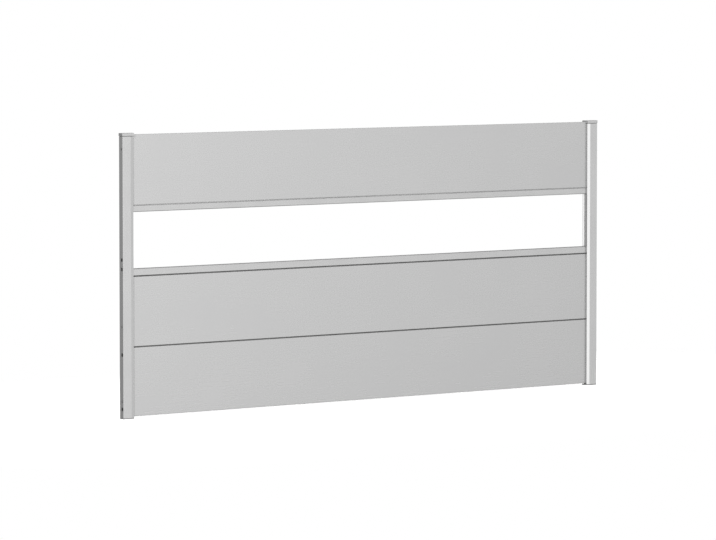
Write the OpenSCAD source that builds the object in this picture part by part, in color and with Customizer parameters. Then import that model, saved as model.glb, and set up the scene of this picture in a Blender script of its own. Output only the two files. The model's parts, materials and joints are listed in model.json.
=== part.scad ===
// Metal privacy screen, one bay: two grooved posts with caps and foot plugs, three hollow sheet
// panels, and an open window between a sill rail and a head rail.
// +X runs along the bay, -Y is the front, +Z is up. The origin is the centre of the left post's foot.

/* [Panels] */
// Cut length of the panels and rails
panel_len = 1900; // [600:10:2200]
// Height of one module, seam to seam
module_h = 225.5; // [150:0.5:300]
// Height of the lowest module, from the panel's lower edge to its seam
lowest_h = 221; // [150:0.5:300]
// Thickness of a panel or rail
panel_t = 8; // [6:0.5:12]
// Gauge of the panels' sheet
sheet_t = 1; // [0.8:0.1:1.5]
// Outer radius of the folded edges
fold_r = 1.6; // [1.5:0.1:2.5]
// Depth of the back sheet's turned-in edges
return_d = 4.5; // [3:0.5:4.5]
// Height of the seams under the window and between the lower panels
seam_gap = 3.1; // [1:0.1:4]
// Height of the seam above the window
head_seam_gap = 1.7; // [1:0.1:4]
// How far the joint strips lie behind the panels' faces
strip_inset = 1.2; // [0.5:0.1:2]

/* [Window] */
// Height of the sill rail under the window
sill_h = 23.6; // [15:0.1:40]
// Height of the head rail over the window
head_h = 20.4; // [15:0.1:40]
// Wall of the rails
rail_wall = 1.2; // [1:0.1:2]
// Wall of the spacers that carry the head rail in the grooves
spacer_wall = 1.5; // [1:0.1:2]
// Width of the spacers, from the groove's bottom
spacer_w = 9.8; // [6:0.2:12]

/* [Posts] */
// Width of a post across its front
post_w = 42; // [36:1:60]
// Wall of the posts
post_wall = 1.5; // [1.2:0.1:2.5]
// Outer corner radius of the posts
corner_r = 0.8; // [0.5:0.1:1.5]
// Width of the sloped lip beside the panels
lip_w = 11; // [8:0.5:14]
// How far the lip slopes back
lip_drop = 2.3; // [1:0.1:3]
// Depth of the groove that takes the panels' ends
groove_d = 12.5; // [10:0.5:15]
// Depth from the post's front to the groove
cheek_d = 8.3; // [7:0.1:10]
// Thickness of the posts behind the groove
flange_t = 4.2; // [3.8:0.1:6]
// How far the rear flange reaches past the lip
flange_reach = 5.3; // [3:0.1:10]
// How far the rear flange's inner face opens towards its edge
flange_flare = 3.2; // [0.5:0.1:3.4]
// How far the panels' lower edge lies above the foot
foot_gap = 7; // [4:0.5:20]
// How far the posts' upper ends lie below the panels' upper edge
top_drop = 6.1; // [2:0.1:8]

/* [Slots] */
// Width of the fixing slots
slot_w = 8; // [6:0.5:10]
// Length of the fixing slots, end to end
slot_len = 12; // [10:0.5:16]
// Distance of the slots' centre line behind the post's front
slot_setback = 6.5; // [6:0.5:10]
// Height of the lowest slot
slot_low_z = 32; // [20:1:60]
// Height of the middle slot
slot_mid_z = 205; // [150:1:300]
// Height of the lower slot of the upper pair
slot_pair_z = 477; // [400:1:600]
// Distance between the two slots of the upper pair
slot_pair_pitch = 30; // [20:1:60]

/* [Caps and feet] */
// Thickness of the cap's plate
cap_h = 9.6; // [9:0.1:14]
// How far the cap stands out past the post
cap_overhang = 1.2; // [0.5:0.1:3]
// Height of the shadow gap between the post's end and the cap's plate
cap_gap = 1.2; // [0.5:0.1:2]
// How far the shadow gap's neck lies inside the post's outline
neck_inset = 1; // [0.5:0.1:1.4]
// Corner radius of the cap in plan
cap_r = 2; // [1:0.1:4]
// Thickness of the foot plug's plate
foot_t = 3; // [2:0.5:3.5]
// Length of the spigots on caps and foot plugs
spigot_len = 14; // [8:1:30]
// Wall of the spigots
spigot_wall = 2; // [1.5:0.1:3]

/* [Clearances] */
// Clearance of the panels in the groove, on each side
groove_clear = 0.1; // [0.1:0.05:0.3]
// Clearance of the panels' ends at the groove's bottom
end_clear = 0.5; // [0.3:0.1:2]
// Clearance of the spigots in the posts
spigot_clear = 0.15; // [0.1:0.05:0.5]
// Clearance between a back sheet and the folds around it
nest_clear = 0.1; // [0.05:0.05:0.3]
// Clearance of the panel's corner in the cap's notch
notch_clear = 0.3; // [0.2:0.1:1]

/* [Hidden] */
$fn = 48;
eps = 0.01;

groove_x = post_w - groove_d;                         // groove's bottom, from the post's outer face
overall_w = panel_len + 2 * (groove_x + end_clear);
panel_y = cheek_d + groove_clear;                     // front face of the panels
panel_back_y = panel_y + panel_t;
channel_back_y = panel_back_y + groove_clear;
post_d = channel_back_y + flange_t;                   // depth of a post, front to back
lip_x = post_w - lip_w;
flange_x = post_w + flange_reach;
panel_x = groove_x + end_clear;
stack_z = [for (i = [0 : 4]) foot_gap + (i > 0 ? lowest_h : 0) + max(i - 1, 0) * module_h];  // edges and seams
panels_top = stack_z[4];
post_top = panels_top - top_drop;
chamber_x = groove_x - post_wall;                     // inner end of the post's deep chamber
sill_z = stack_z[2] + seam_gap / 2;
sill_top = sill_z + sill_h;
head_top = stack_z[3] - head_seam_gap / 2;
head_z = head_top - head_h;

// Places what is drawn for the left end, at the left or mirrored at the right.
module at_end(right) {
    translate([right ? overall_w - post_w / 2 : -post_w / 2, -post_d / 2, 0])
        mirror([right ? 1 : 0, 0, 0])
            children();
}

// Places what runs between the posts.
module between_posts() {
    translate([panel_x - post_w / 2, -post_d / 2, 0])
        children();
}

// A square with two sharp and two rounded corners: the two at x = 0.
module left_rounded(w, d, r) {
    translate([r, 0]) square([w - r, d]);
    translate([0, r]) square([r + eps, d - 2 * r]);
    for (y = [r, d - r])
        translate([r, y]) circle(r);
}

// Outline of a post across its length.
module post_outline() {
    left_rounded(groove_x, post_d, corner_r);
    polygon([
        [groove_x - eps, 0], [lip_x, 0], [post_w, lip_drop], [post_w, cheek_d], [groove_x - eps, cheek_d]
    ]);
    polygon([
        [groove_x - eps, channel_back_y], [groove_x + spacer_w, channel_back_y],
        [flange_x, channel_back_y + flange_flare], [flange_x, post_d], [groove_x - eps, post_d]
    ]);
}

// The hollow inside a post: a deep chamber, and a shallow one behind the lip.
module post_hollow() {
    translate([post_wall, post_wall])
        square([chamber_x - post_wall, post_d - 2 * post_wall]);
    polygon([
        [chamber_x - eps, post_wall], [lip_x, post_wall],
        [post_w - post_wall, post_wall + lip_drop * (lip_w - post_wall) / lip_w],
        [post_w - post_wall, cheek_d - post_wall], [chamber_x - eps, cheek_d - post_wall]
    ]);
}

// One fixing slot through the post's outer wall, its long way upright.
module side_slot(z) {
    translate([-eps, slot_setback, z])
        rotate([0, 90, 0])
            linear_extrude(post_wall + 2 * eps) {
                square([slot_len - slot_w, slot_w], center = true);
                for (side = [-1, 1])
                    translate([side * (slot_len - slot_w) / 2, 0]) circle(d = slot_w);
            }
}

module post() {
    difference() {
        translate([0, 0, foot_t])
            linear_extrude(post_top - foot_t)
                difference() {
                    post_outline();
                    post_hollow();
                }
        for (z = [slot_low_z, slot_mid_z, slot_pair_z, slot_pair_z + slot_pair_pitch])
            side_slot(z);
    }
}

// A square tube spigot that fits the post's deep chamber, standing on z = 0.
module spigot() {
    inset = post_wall + spigot_clear;
    w = chamber_x - 2 * spigot_clear - post_wall;
    d = post_d - 2 * inset;
    translate([inset, inset, 0])
        linear_extrude(spigot_len)
            difference() {
                square([w, d]);
                translate([spigot_wall, spigot_wall])
                    square([w - 2 * spigot_wall, d - 2 * spigot_wall]);
            }
}

// Outline of the cap: rounded at the outer corners, its inner side slanting from the lip to the rear flange.
module cap_outline() {
    d = post_d + 2 * cap_overhang;
    translate([-cap_overhang, -cap_overhang]) {
        left_rounded(post_w / 2, d, cap_r);
        polygon([
            [post_w / 2 - eps, 0], [post_w + 2 * cap_overhang, 0],
            [flange_x + 2 * cap_overhang, d], [post_w / 2 - eps, d]
        ]);
    }
}

// The neck under the cap's plate, set back to leave a shadow line above the post.
module cap_neck() {
    translate([neck_inset, neck_inset])
        square([groove_x - 2 * neck_inset, post_d - 2 * neck_inset]);
    translate([groove_x - neck_inset - eps, neck_inset + lip_drop])
        square([lip_w, cheek_d - lip_drop - 2 * neck_inset]);
}

// The cap's notch lets the upper panel's corner stand above the post's end.
module post_cap() {
    plate_z = post_top + cap_gap;
    notch_d = panel_t + 2 * notch_clear;
    difference() {
        translate([0, 0, plate_z])
            linear_extrude(cap_h) cap_outline();
        translate([panel_x - notch_clear, panel_y - notch_clear, plate_z - eps])
            cube([flange_x, notch_d, panels_top + notch_clear - plate_z + eps]);
    }
    translate([0, 0, post_top])
        linear_extrude(cap_gap) cap_neck();
    translate([0, 0, post_top - spigot_len]) spigot();
}

module foot_plug() {
    linear_extrude(foot_t)
        post_outline();
    translate([0, 0, foot_t]) spigot();
}

// Quarter of a bent sheet, about its inner corner, for a fold of radius fold_r.
module fold_corner() {
    intersection() {
        difference() {
            circle(fold_r);
            circle(fold_r - sheet_t);
        }
        translate([-fold_r, -fold_r]) square(fold_r);
    }
}

// Front sheet's outline across its length: x is the depth, y the height, face at x = 0.
module front_sheet_outline(h) {
    translate([0, fold_r]) square([sheet_t, h - 2 * fold_r]);
    translate([fold_r, 0]) square([panel_t - fold_r, sheet_t]);
    translate([fold_r, h - sheet_t]) square([panel_t - fold_r, sheet_t]);
    translate([fold_r, fold_r]) fold_corner();
    translate([fold_r, h - fold_r]) mirror([0, 1]) fold_corner();
}

// Back sheet's outline: a flat sheet nested between the front sheet's folds.
module back_sheet_outline(h) {
    low = sheet_t + nest_clear;
    h_in = h - 2 * low;
    translate([panel_t - sheet_t, low]) square([sheet_t, h_in]);
    for (y = [low, h - low - sheet_t])
        translate([panel_t - return_d, y]) square([return_d, sheet_t]);
}

// Runs an outline along the bay, with its x as depth and its y as height.
module run_along(z) {
    between_posts()
        translate([0, panel_y, z])
            rotate([90, 0, 90])
                linear_extrude(panel_len)
                    children();
}

// A rail's outline: a closed tube with a rounded front edge above and below.
module rail_outline(h) {
    difference() {
        left_rounded(panel_t, h, fold_r);
        translate([rail_wall, rail_wall]) square([panel_t - 2 * rail_wall, h - 2 * rail_wall]);
    }
}

module panel_front(z, h) {
    run_along(z) front_sheet_outline(h);
}

module panel_back(z, h) {
    run_along(z) back_sheet_outline(h);
}

module joint_strip(z, h) {
    run_along(z)
        translate([strip_inset, 0]) square([panel_t - 2 * strip_inset, h]);
}

module window_spacer() {
    translate([groove_x, panel_y, sill_top])
        linear_extrude(head_z - sill_top)
            difference() {
                square([spacer_w, panel_t]);
                translate([spacer_wall, spacer_wall])
                    square([spacer_w - 2 * spacer_wall, panel_t - 2 * spacer_wall]);
            }
}

lower_z = stack_z[0];
lower_h = lowest_h - seam_gap / 2;
middle_z = stack_z[1] + seam_gap / 2;
middle_h = module_h - seam_gap;
upper_z = stack_z[3] + head_seam_gap / 2;
upper_h = panels_top - upper_z;

module left_post() { color("silver") at_end(false) post(); }
module right_post() { color("silver") at_end(true) post(); }
module left_post_cap() { color("darkgray") at_end(false) post_cap(); }
module right_post_cap() { color("darkgray") at_end(true) post_cap(); }
module left_foot_plug() { color("gray") at_end(false) foot_plug(); }
module right_foot_plug() { color("gray") at_end(true) foot_plug(); }
module lower_panel_front() { color("lightgray") panel_front(lower_z, lower_h); }
module lower_panel_back() { color("lightgray") panel_back(lower_z, lower_h); }
module middle_panel_front() { color("lightgray") panel_front(middle_z, middle_h); }
module middle_panel_back() { color("lightgray") panel_back(middle_z, middle_h); }
module upper_panel_front() { color("lightgray") panel_front(upper_z, upper_h); }
module upper_panel_back() { color("lightgray") panel_back(upper_z, upper_h); }
module window_sill_rail() { color("silver") run_along(sill_z) rail_outline(sill_h); }
module window_head_rail() { color("silver") run_along(head_z) rail_outline(head_h); }
module left_window_spacer() { color("darkgray") at_end(false) window_spacer(); }
module right_window_spacer() { color("darkgray") at_end(true) window_spacer(); }
module lower_joint_strip() { color("dimgray") joint_strip(stack_z[1] - seam_gap / 2, seam_gap); }
module sill_joint_strip() { color("dimgray") joint_strip(stack_z[2] - seam_gap / 2, seam_gap); }
module head_joint_strip() { color("dimgray") joint_strip(head_top, head_seam_gap); }

left_post();
right_post();
left_post_cap();
right_post_cap();
left_foot_plug();
right_foot_plug();
lower_panel_front();
lower_panel_back();
middle_panel_front();
middle_panel_back();
upper_panel_front();
upper_panel_back();
window_sill_rail();
window_head_rail();
left_window_spacer();
right_window_spacer();
lower_joint_strip();
sill_joint_strip();
head_joint_strip();
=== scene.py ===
# Metal privacy screen, one bay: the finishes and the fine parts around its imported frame.
import json
import math

import bmesh
import bpy
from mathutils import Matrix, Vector


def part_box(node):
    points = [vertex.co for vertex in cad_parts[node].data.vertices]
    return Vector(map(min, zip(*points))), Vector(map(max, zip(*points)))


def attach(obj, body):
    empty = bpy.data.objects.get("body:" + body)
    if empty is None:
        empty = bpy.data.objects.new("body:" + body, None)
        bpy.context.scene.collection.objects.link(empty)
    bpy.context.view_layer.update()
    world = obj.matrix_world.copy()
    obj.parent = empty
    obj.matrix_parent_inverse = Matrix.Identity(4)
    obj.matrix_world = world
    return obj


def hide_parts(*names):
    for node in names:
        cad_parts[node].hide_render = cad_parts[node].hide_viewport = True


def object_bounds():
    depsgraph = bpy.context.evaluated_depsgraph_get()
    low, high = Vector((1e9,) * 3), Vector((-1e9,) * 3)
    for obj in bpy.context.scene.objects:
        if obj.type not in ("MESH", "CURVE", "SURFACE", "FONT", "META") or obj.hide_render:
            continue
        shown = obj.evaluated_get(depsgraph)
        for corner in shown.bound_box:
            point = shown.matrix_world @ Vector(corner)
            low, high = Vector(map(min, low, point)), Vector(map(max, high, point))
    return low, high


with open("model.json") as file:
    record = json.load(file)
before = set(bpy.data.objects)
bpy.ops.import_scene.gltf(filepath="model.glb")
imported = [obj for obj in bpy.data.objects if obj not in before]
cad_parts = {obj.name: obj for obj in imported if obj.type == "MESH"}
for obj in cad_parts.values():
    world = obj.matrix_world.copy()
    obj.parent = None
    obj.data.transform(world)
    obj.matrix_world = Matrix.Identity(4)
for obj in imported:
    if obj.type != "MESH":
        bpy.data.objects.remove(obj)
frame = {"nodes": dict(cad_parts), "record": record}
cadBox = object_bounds()
cadLow, cadHigh = cadBox

postLow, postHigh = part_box("left_post")
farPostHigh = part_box("right_post")[1]
screenCentre = (cadLow + cadHigh) / 2
slotOf = {entry["node"]: entry["material_slot"] for entry in frame["record"]["subparts"]}
print("frame loaded:", len(frame["nodes"]), "nodes")


class Sock:
    # one output of a shader graph; a sum, difference or product of these adds a Math node
    def __init__(self, graph, socket):
        self.graph = graph
        self.socket = socket

    def combine(self, operation, first, second):
        return self.graph.node("ShaderNodeMath", {"operation": operation}, {0: first, 1: second})

    def __add__(self, other):
        return self.combine("ADD", self, other)

    def __radd__(self, other):
        return self.combine("ADD", other, self)

    def __sub__(self, other):
        return self.combine("SUBTRACT", self, other)

    def __rsub__(self, other):
        return self.combine("SUBTRACT", other, self)

    def __mul__(self, other):
        return self.combine("MULTIPLY", self, other)

    def __rmul__(self, other):
        return self.combine("MULTIPLY", other, self)


class Graph:
    def __init__(self, tree):
        self.tree = tree
        tree.nodes.clear()

    def node(self, kind, settings=None, inputs=None, output=0):
        made = self.tree.nodes.new(kind)
        for name, value in (settings or {}).items():
            setattr(made, name, value)
        for key, value in (inputs or {}).items():
            if isinstance(value, Sock):
                self.tree.links.new(value.socket, made.inputs[key])
            else:
                made.inputs[key].default_value = value
        return Sock(self, made.outputs[output]) if made.outputs else made

    def mixColour(self, factor, first, second):
        return self.node("ShaderNodeMix", {"data_type": "RGBA"}, {0: factor, 6: first, 7: second}, 2)

    def objectPoint(self, scale=(1, 1, 1)):
        place = self.node("ShaderNodeTexCoord", output="Object")
        return self.node("ShaderNodeMapping", inputs={"Vector": place, "Scale": scale})

    def noise(self, scale, detail=2.0, stretch=(1, 1, 1)):
        return self.node("ShaderNodeTexNoise", inputs={
            "Vector": self.objectPoint(stretch), "Scale": scale, "Detail": detail})

    def rescale(self, value, low, high, fromLow=0.3, fromHigh=0.7):
        return self.node("ShaderNodeMapRange", inputs={
            "Value": value, "From Min": fromLow, "From Max": fromHigh, "To Min": low, "To Max": high})


def grey(level):
    return (level, level, level, 1.0)


def metalFinish(name, look):
    material = bpy.data.materials.new(name)
    material.use_nodes = True
    graph = Graph(material.node_tree)
    lines = graph.noise(look["lineScale"], 3.0, look["lineStretch"])
    cloud = graph.noise(look["cloudScale"], 2.0)
    grain = graph.noise(look["grainScale"], 2.0)
    tone = graph.rescale(0.5 * lines + 0.5 * cloud, 0.0, 1.0)
    colour = graph.mixColour(tone, grey(look["dark"]), grey(look["light"]))
    roughness = graph.rescale(0.6 * cloud + 0.4 * lines, look["smooth"], look["rough"])
    height = look["lineShare"] * lines + (1 - look["lineShare"]) * grain
    bump = graph.node("ShaderNodeBump", inputs={
        "Strength": look["bump"], "Distance": look["bumpDepth"], "Height": height})
    shader = graph.node("ShaderNodeBsdfPrincipled", inputs={
        "Base Color": colour, "Metallic": look["metallic"], "Roughness": roughness, "Normal": bump})
    graph.node("ShaderNodeOutputMaterial", inputs={"Surface": shader})
    return material


def plainFinish(name, look):
    material = bpy.data.materials.new(name)
    material.use_nodes = True
    graph = Graph(material.node_tree)
    cloud = graph.noise(look["cloudScale"], 2.0)
    grain = graph.noise(look["grainScale"], 3.0)
    colour = graph.mixColour(graph.rescale(cloud, 0.0, 1.0), grey(look["dark"]), grey(look["light"]))
    roughness = graph.rescale(0.5 * cloud + 0.5 * grain, look["smooth"], look["rough"])
    bump = graph.node("ShaderNodeBump", inputs={
        "Strength": look["bump"], "Distance": look["bumpDepth"], "Height": grain})
    shader = graph.node("ShaderNodeBsdfPrincipled", inputs={
        "Base Color": colour, "Roughness": roughness, "Normal": bump})
    graph.node("ShaderNodeOutputMaterial", inputs={"Surface": shader})
    return material


drawnPost = metalFinish("drawnPostMetal", {
    "dark": 0.585, "light": 0.625, "metallic": 0.9, "smooth": 0.22, "rough": 0.30, "lineScale": 900.0,
    "lineStretch": (1, 1, 0.01), "cloudScale": 9.0, "grainScale": 2500.0, "lineShare": 0.7,
    "bump": 0.08, "bumpDepth": 0.00005})
drawnRail = metalFinish("drawnRailMetal", {
    "dark": 0.58, "light": 0.62, "metallic": 0.9, "smooth": 0.22, "rough": 0.30, "lineScale": 900.0,
    "lineStretch": (0.01, 1, 1), "cloudScale": 9.0, "grainScale": 2500.0, "lineShare": 0.7,
    "bump": 0.08, "bumpDepth": 0.00005})
satinSheet = metalFinish("satinSheetMetal", {
    "dark": 0.521, "light": 0.534, "metallic": 0.72, "smooth": 0.25, "rough": 0.29, "lineScale": 700.0,
    "lineStretch": (0.02, 1, 1), "cloudScale": 5.0, "grainScale": 2500.0, "lineShare": 0.3,
    "bump": 0.025, "bumpDepth": 0.00003})
castCap = metalFinish("castCapMetal", {
    "dark": 0.56, "light": 0.60, "metallic": 0.9, "smooth": 0.30, "rough": 0.40, "lineScale": 1500.0,
    "lineStretch": (1, 1, 1), "cloudScale": 30.0, "grainScale": 3500.0, "lineShare": 0.3,
    "bump": 0.15, "bumpDepth": 0.00005})
screwSteel = metalFinish("screwSteel", {
    "dark": 0.46, "light": 0.52, "metallic": 1.0, "smooth": 0.25, "rough": 0.35, "lineScale": 2500.0,
    "lineStretch": (1, 1, 1), "cloudScale": 200.0, "grainScale": 5000.0, "lineShare": 0.3,
    "bump": 0.1, "bumpDepth": 0.00003})
plugPlastic = plainFinish("plugPlastic", {
    "dark": 0.13, "light": 0.17, "smooth": 0.45, "rough": 0.6, "cloudScale": 40.0, "grainScale": 3000.0,
    "bump": 0.2, "bumpDepth": 0.00005})
# near-black rubber: the joint gaskets' own dark tone, made darker to paint the shadow in the lower and sill
# seams; the caps' necks also take it as painted shadow
seamRubberAndPaintedShade = plainFinish("seamRubberAndPaintedShade", {
    "dark": 0.05, "light": 0.08, "smooth": 0.6, "rough": 0.8, "cloudScale": 30.0, "grainScale": 2500.0,
    "bump": 0.3, "bumpDepth": 0.00005})
# a paler copy of the same gasket rubber, painted lighter for the head seam, which shows less shade
litSeamRubberCopy = plainFinish("seamRubberLitCopy", {
    "dark": 0.30, "light": 0.36, "smooth": 0.6, "rough": 0.8, "cloudScale": 30.0, "grainScale": 2500.0,
    "bump": 0.3, "bumpDepth": 0.00005})

finishes = {
    "post_metal": drawnPost, "cap_metal": castCap, "panel_sheet": satinSheet, "rail_metal": drawnRail,
    "plug_plastic": plugPlastic, "seam_rubber": seamRubberAndPaintedShade}
for nodeName, part in frame["nodes"].items():
    part.data.materials.clear()
    part.data.materials.append(finishes[slotOf[nodeName]])
# the head strip takes the paler copy of the rubber, painted light for a seam with less shade
frame["nodes"]["head_joint_strip"].data.materials[0] = litSeamRubberCopy
print("finishes made:", len(finishes) + 2)  # with the screws' steel and the pale seam


def deselectAll():
    if bpy.context.object and bpy.context.object.mode != "OBJECT":
        bpy.ops.object.mode_set(mode="OBJECT")
    bpy.ops.object.select_all(action="DESELECT")


def makeActive(piece):
    deselectAll()
    piece.select_set(True)
    bpy.context.view_layer.objects.active = piece


touching = 0.0001  # two heights closer than this are the same
longEdge = 0.02  # an edge longer than this runs along a piece
sharpAngle = math.radians(25)
weldDistance = 0.00001


def mergedCopy(nodeName, pieceName):
    # a copy of a CAD node's mesh, merged and cleaned of the seams inside its flat faces
    piece = bpy.data.objects.new(pieceName, frame["nodes"][nodeName].data.copy())
    piece.data.name = pieceName
    bpy.context.scene.collection.objects.link(piece)
    makeActive(piece)
    bpy.ops.mesh.customdata_custom_splitnormals_clear()
    bpy.ops.object.mode_set(mode="EDIT")
    bpy.ops.mesh.select_all(action="SELECT")
    bpy.ops.mesh.remove_doubles(threshold=weldDistance)
    bpy.ops.mesh.dissolve_limited(angle_limit=math.radians(1))
    bpy.ops.mesh.normals_make_consistent(inside=False)
    bpy.ops.mesh.select_all(action="DESELECT")
    bpy.ops.object.mode_set(mode="OBJECT")
    return piece


def bevelSharp(piece, wanted, width, segments):
    # bevels the outward corners that wanted() picks by their two ends
    makeActive(piece)
    bpy.ops.object.mode_set(mode="EDIT")
    bpy.ops.mesh.select_mode(type="EDGE")
    bpy.ops.mesh.select_all(action="DESELECT")
    mesh = bmesh.from_edit_mesh(piece.data)
    for edge in mesh.edges:
        if len(edge.link_faces) != 2 or not edge.is_convex:
            continue
        sharp = edge.calc_face_angle() > sharpAngle
        edge.select_set(sharp and wanted(edge.verts[0].co, edge.verts[1].co))
    bmesh.update_edit_mesh(piece.data)
    bpy.ops.mesh.bevel(offset=width, segments=segments, profile=0.5, affect="EDGES", clamp_overlap=True)
    bpy.ops.object.mode_set(mode="OBJECT")


def finishPiece(piece, nodeName):
    makeActive(piece)
    bpy.ops.object.shade_flat()
    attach(piece, "root")
    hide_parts(nodeName)


def alongZ(a, b):
    return abs(a.z - b.z) > longEdge


def alongX(a, b):
    return abs(a.x - b.x) > longEdge


def bothAt(height):
    # picks the edges whose two ends lie at that height
    return lambda a, b: max(abs(a.z - height), abs(b.z - height)) < touching


post = {"edge": 0.0003, "edgeSteps": 2}


def makePosts():
    for side in ("left", "right"):
        node = side + "_post"
        piece = mergedCopy(node, side + "PostDrawn")
        bevelSharp(piece, alongZ, post["edge"], post["edgeSteps"])
        finishPiece(piece, node)


cap = {
    "gap": 0.0012,  # height of the cap's neck between the post and the cap's plate, painted near-black as the shadow under the plate
    "topEdge": 0.0009, "topSteps": 3, "lowEdge": 0.0008, "lowSteps": 2}


def makeCaps():
    plateLow = postHigh.z + cap["gap"]
    for side in ("left", "right"):
        node = side + "_post_cap"
        piece = mergedCopy(node, side + "CapCast")
        bevelSharp(piece, bothAt(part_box(node)[1].z), cap["topEdge"], cap["topSteps"])
        bevelSharp(piece, bothAt(plateLow), cap["lowEdge"], cap["lowSteps"])
        # the faces below the plate take the near-black rubber: a painted shadow line under the cap's plate
        piece.data.materials.append(seamRubberAndPaintedShade)
        for face in piece.data.polygons:
            if face.center.z < plateLow - touching:
                face.material_index = 1
        finishPiece(piece, node)


foot = {"lowEdge": 0.0004, "lowSteps": 2}


def makeFeet():
    for side in ("left", "right"):
        node = side + "_foot_plug"
        piece = mergedCopy(node, side + "FootPlugMoulded")
        bevelSharp(piece, bothAt(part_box(node)[0].z), foot["lowEdge"], foot["lowSteps"])
        finishPiece(piece, node)


# radius of each rail's front edge above and below
rails = {
    "window_sill_rail": {"name": "sillRailDrawn", "above": 0.0036, "below": 0.0016},
    "window_head_rail": {"name": "headRailDrawn", "above": 0.0016, "below": 0.0026},
    "frontSteps": 6, "backEdge": 0.0003, "backSteps": 2}


def makeRails():
    # each rail is a long bar with rounded front edges, as deep and high as its frame piece
    for node in ("window_sill_rail", "window_head_rail"):
        rail = rails[node]
        low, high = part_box(node)
        middle = (low + high) / 2
        deselectAll()
        bpy.ops.mesh.primitive_cube_add(size=1, location=middle)
        piece = bpy.context.object
        piece.name = rail["name"]
        piece.scale = high - low
        bpy.ops.object.transform_apply(location=True, rotation=True, scale=True)
        bevelSharp(piece, lambda a, b: alongX(a, b) and a.y < middle.y and a.z > high.z - touching,
                   rail["above"], rails["frontSteps"])
        bevelSharp(piece, lambda a, b: alongX(a, b) and a.y < middle.y and a.z < low.z + touching,
                   rail["below"], rails["frontSteps"])
        bevelSharp(piece, lambda a, b: alongX(a, b) and a.y > high.y - touching,
                   rails["backEdge"], rails["backSteps"])
        piece.data.materials.append(finishes[slotOf[node]])
        finishPiece(piece, node)


strip = {"edge": 0.0004, "edgeSteps": 2}


def makeJointStrips():
    # each strip gets rounded long edges, like a pressed-in gasket
    for place in ("lower", "sill", "head"):
        node = place + "_joint_strip"
        piece = mergedCopy(node, place + "JointGasket")
        bevelSharp(piece, alongX, strip["edge"], strip["edgeSteps"])
        finishPiece(piece, node)


screw = {
    "radius": 0.0034, "proud": 0.0009, "rim": 0.0004, "rimSteps": 2, "ringSides": 24,
    "socketRadius": 0.0013, "socketDepth": 0.0006,
    "heights": (0.057, 0.294, 0.858),  # above the foot
    "setback": 0.0065}  # behind the post's front


def makeScrewHead():
    # a low button head with a round socket, on the plane x = 0 and facing -X
    deselectAll()
    bpy.ops.mesh.primitive_cylinder_add(
        vertices=screw["ringSides"], radius=screw["radius"], depth=screw["proud"],
        location=(-screw["proud"] / 2, 0, 0), rotation=(0, math.pi / 2, 0))
    head = bpy.context.object
    bpy.ops.object.transform_apply(location=True, rotation=True, scale=True)
    bpy.ops.object.mode_set(mode="EDIT")
    selectOuterFace(head)
    bpy.ops.mesh.bevel(offset=screw["rim"], segments=screw["rimSteps"], affect="EDGES")
    selectOuterFace(head)
    bpy.ops.mesh.inset(thickness=screw["radius"] - screw["rim"] - screw["socketRadius"], depth=0)
    bpy.ops.mesh.extrude_region_move(TRANSFORM_OT_translate={"value": (screw["socketDepth"], 0, 0)})
    bpy.ops.mesh.select_all(action="SELECT")
    bpy.ops.mesh.normals_make_consistent(inside=False)
    bpy.ops.object.mode_set(mode="OBJECT")
    bpy.ops.object.shade_smooth_by_angle(angle=math.radians(40))
    return head


def selectOuterFace(head):
    # selects the one face that lies in the head's outermost plane
    bpy.ops.mesh.select_mode(type="FACE")
    bpy.ops.mesh.select_all(action="DESELECT")
    mesh = bmesh.from_edit_mesh(head.data)
    for face in mesh.faces:
        face.select_set(max(abs(vert.co.x + screw["proud"]) for vert in face.verts) < touching / 10)
    bmesh.update_edit_mesh(head.data)


def makeScrews():
    master = makeScrewHead()
    for side, x, turn in (("left", postLow.x, 0), ("right", farPostHigh.x, math.pi)):
        heads = []
        for height in screw["heights"]:
            head = master.copy()
            head.data = master.data.copy()
            bpy.context.scene.collection.objects.link(head)
            head.location = (x, postLow.y + screw["setback"], height)
            head.rotation_euler.z = turn
            heads.append(head)
        deselectAll()
        for head in heads:
            head.select_set(True)
        bpy.context.view_layer.objects.active = heads[0]
        bpy.ops.object.transform_apply(location=True, rotation=True, scale=True)
        bpy.ops.object.join()
        screws = bpy.context.object
        screws.name = side + "PostScrews"
        screws.data.materials.append(screwSteel)
        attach(screws, "root")
    bpy.data.objects.remove(master)


makePosts()
print("posts done")
makeCaps()
print("caps done")
makeFeet()
print("foot plugs done")
makeRails()
print("rails done")
makeJointStrips()
print("joint strips done")
makeScrews()
print("screws done")

studio = {
    "floorSolid": 0.21, "floorFade": 1.09,  # how far the floor stays solid round the screen, then fades
    "floorGrey": 0.92, "floorLift": 0.22, "white": 1.0,
    "base": 0.79, "zenith": -0.6, "ground": -0.6, "horizon": 0.15, "full": 0.8,
    # each box of light: where it stands seen from the screen, how wide it is, and its strength
    "boxes": [
        {"azimuth": 4, "elevation": 0, "core": 16, "edge": 30, "strength": 0.71},
        {"azimuth": 10, "elevation": 0, "core": 12, "edge": 32, "strength": 0.12},
        {"azimuth": -136, "elevation": 0, "core": 24, "edge": 44, "strength": -0.5},
    ],
    "key": {"azimuth": -56, "elevation": 18, "distance": 7.0, "size": 0.5, "power": 480.0},
    "overhead": {"height": 3.0, "size": 6.0, "power": 240.0}}


def towards(azimuth, elevation):
    # azimuth 0 is straight out from the front, positive to the right
    a, e = math.radians(azimuth), math.radians(elevation)
    return Vector((math.sin(a) * math.cos(e), -math.cos(a) * math.cos(e), math.sin(e)))


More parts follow.
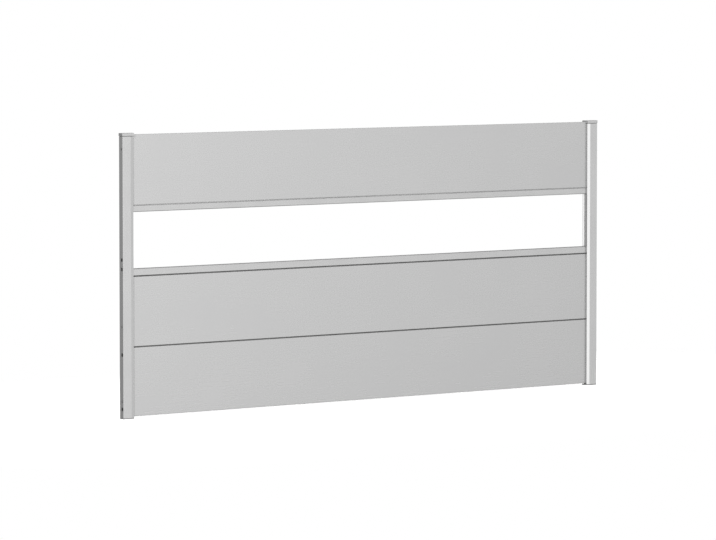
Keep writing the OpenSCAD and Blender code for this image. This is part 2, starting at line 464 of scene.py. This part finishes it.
def makeWorld():
    world = bpy.data.worlds.new("studioLight")
    world.use_nodes = True
    bpy.context.scene.world = world
    graph = Graph(world.node_tree)
    direction = graph.node("ShaderNodeTexCoord", output="Generated")
    height = graph.node("ShaderNodeSeparateXYZ", inputs={"Vector": direction}, output="Z")
    light = (studio["base"]
             + graph.rescale(height, 0.0, studio["zenith"], studio["horizon"], studio["full"])
             + graph.rescale(height, studio["ground"], 0.0, -studio["full"], -studio["horizon"]))
    for box in studio["boxes"]:
        along = graph.node("ShaderNodeVectorMath", {"operation": "DOT_PRODUCT"}, {
            0: direction, 1: towards(box["azimuth"], box["elevation"])}, "Value")
        glow = graph.node("ShaderNodeMapRange", {"interpolation_type": "SMOOTHSTEP"}, {
            "Value": along, "From Min": math.cos(math.radians(box["edge"])),
            "From Max": math.cos(math.radians(box["core"])), "To Min": 0.0, "To Max": box["strength"]})
        light = light + glow
    seen = graph.node("ShaderNodeLightPath", output="Is Camera Ray")
    strength = light * (1 - seen) + studio["white"] * seen
    shader = graph.node("ShaderNodeBackground", inputs={"Color": grey(1.0), "Strength": strength})
    graph.node("ShaderNodeOutputWorld", inputs={"Surface": shader})


def makeAreaLight(name, place, aim, size, power):
    data = bpy.data.lights.new(name, "AREA")
    data.size = size
    data.energy = power
    lamp = bpy.data.objects.new(name, data)
    bpy.context.scene.collection.objects.link(lamp)
    lamp.location = place
    lamp.rotation_mode = "QUATERNION"
    lamp.rotation_quaternion = (aim - place).to_track_quat("-Z", "Y")
    lamp.visible_glossy = False
    lamp.visible_camera = False


def makeLamps():
    key = studio["key"]
    place = screenCentre + towards(key["azimuth"], key["elevation"]) * key["distance"]
    makeAreaLight("keyLamp", place, screenCentre, key["size"], key["power"])
    high = studio["overhead"]
    place = Vector((screenCentre.x, screenCentre.y, cadLow.z + high["height"]))
    makeAreaLight("overheadLamp", place, screenCentre, high["size"], high["power"])


def makeFloor():
    length = cadHigh.x - cadLow.x
    reach = studio["floorSolid"] + studio["floorFade"]
    deselectAll()
    bpy.ops.mesh.primitive_plane_add(size=1, location=(screenCentre.x, screenCentre.y, cadLow.z))
    floor = bpy.context.object
    floor.scale = (length + 2 * reach, 2 * reach, 1)
    bpy.ops.object.transform_apply(location=False, rotation=False, scale=True)
    floor.name = "studioFloor"
    material = bpy.data.materials.new("paleFloor")
    material.use_nodes = True
    graph = Graph(material.node_tree)
    place = graph.node("ShaderNodeTexCoord", output="Object")
    size = graph.node("ShaderNodeVectorMath", {"operation": "ABSOLUTE"}, {0: place}, "Vector")
    halfSolid = (length / 2 + studio["floorSolid"], studio["floorSolid"], 0)
    outside = graph.node("ShaderNodeVectorMath", {"operation": "SUBTRACT"}, {0: size, 1: halfSolid}, "Vector")
    clipped = graph.node(
        "ShaderNodeVectorMath", {"operation": "MAXIMUM"}, {0: outside, 1: (0, 0, 0)}, "Vector")
    away = graph.node("ShaderNodeVectorMath", {"operation": "LENGTH"}, {0: clipped}, "Value")
    solid = graph.rescale(away, 1.0, 0.0, 0.0, studio["floorFade"])
    matt = graph.node("ShaderNodeBsdfDiffuse", inputs={"Color": grey(studio["floorGrey"])})
    lit = graph.node("ShaderNodeEmission", inputs={"Color": grey(1.0), "Strength": studio["floorLift"]})
    pale = graph.node("ShaderNodeAddShader", inputs={0: matt, 1: lit})
    clear = graph.node("ShaderNodeBsdfTransparent")
    shader = graph.node("ShaderNodeMixShader", inputs={0: solid, 1: clear, 2: pale})
    graph.node("ShaderNodeOutputMaterial", inputs={"Surface": shader})
    floor.data.materials.append(material)
    floor.visible_glossy = False
    floor.visible_diffuse = False


def makeCamera():
    look = {"azimuth": -37.074, "elevation": 3.914, "distance": 14.648, "lens": 223.6,
            "aimAlong": 0.9328, "aimHeight": 0.4345}
    aim = Vector((postLow.x + look["aimAlong"], postLow.y, postLow.z + look["aimHeight"]))
    data = bpy.data.cameras.new("frontLeftCamera")
    data.lens = look["lens"]
    data.sensor_width = 36
    data.clip_end = 100
    camera = bpy.data.objects.new("frontLeftCamera", data)
    bpy.context.scene.collection.objects.link(camera)
    back = towards(look["azimuth"], look["elevation"])
    camera.location = aim + back * look["distance"]
    camera.rotation_mode = "QUATERNION"
    camera.rotation_quaternion = (-back).to_track_quat("-Z", "Y")
    bpy.context.scene.camera = camera


bpy.context.scene.view_settings.view_transform = "Standard"
makeWorld()
makeLamps()
makeFloor()
makeCamera()
print("floor, light and camera set")
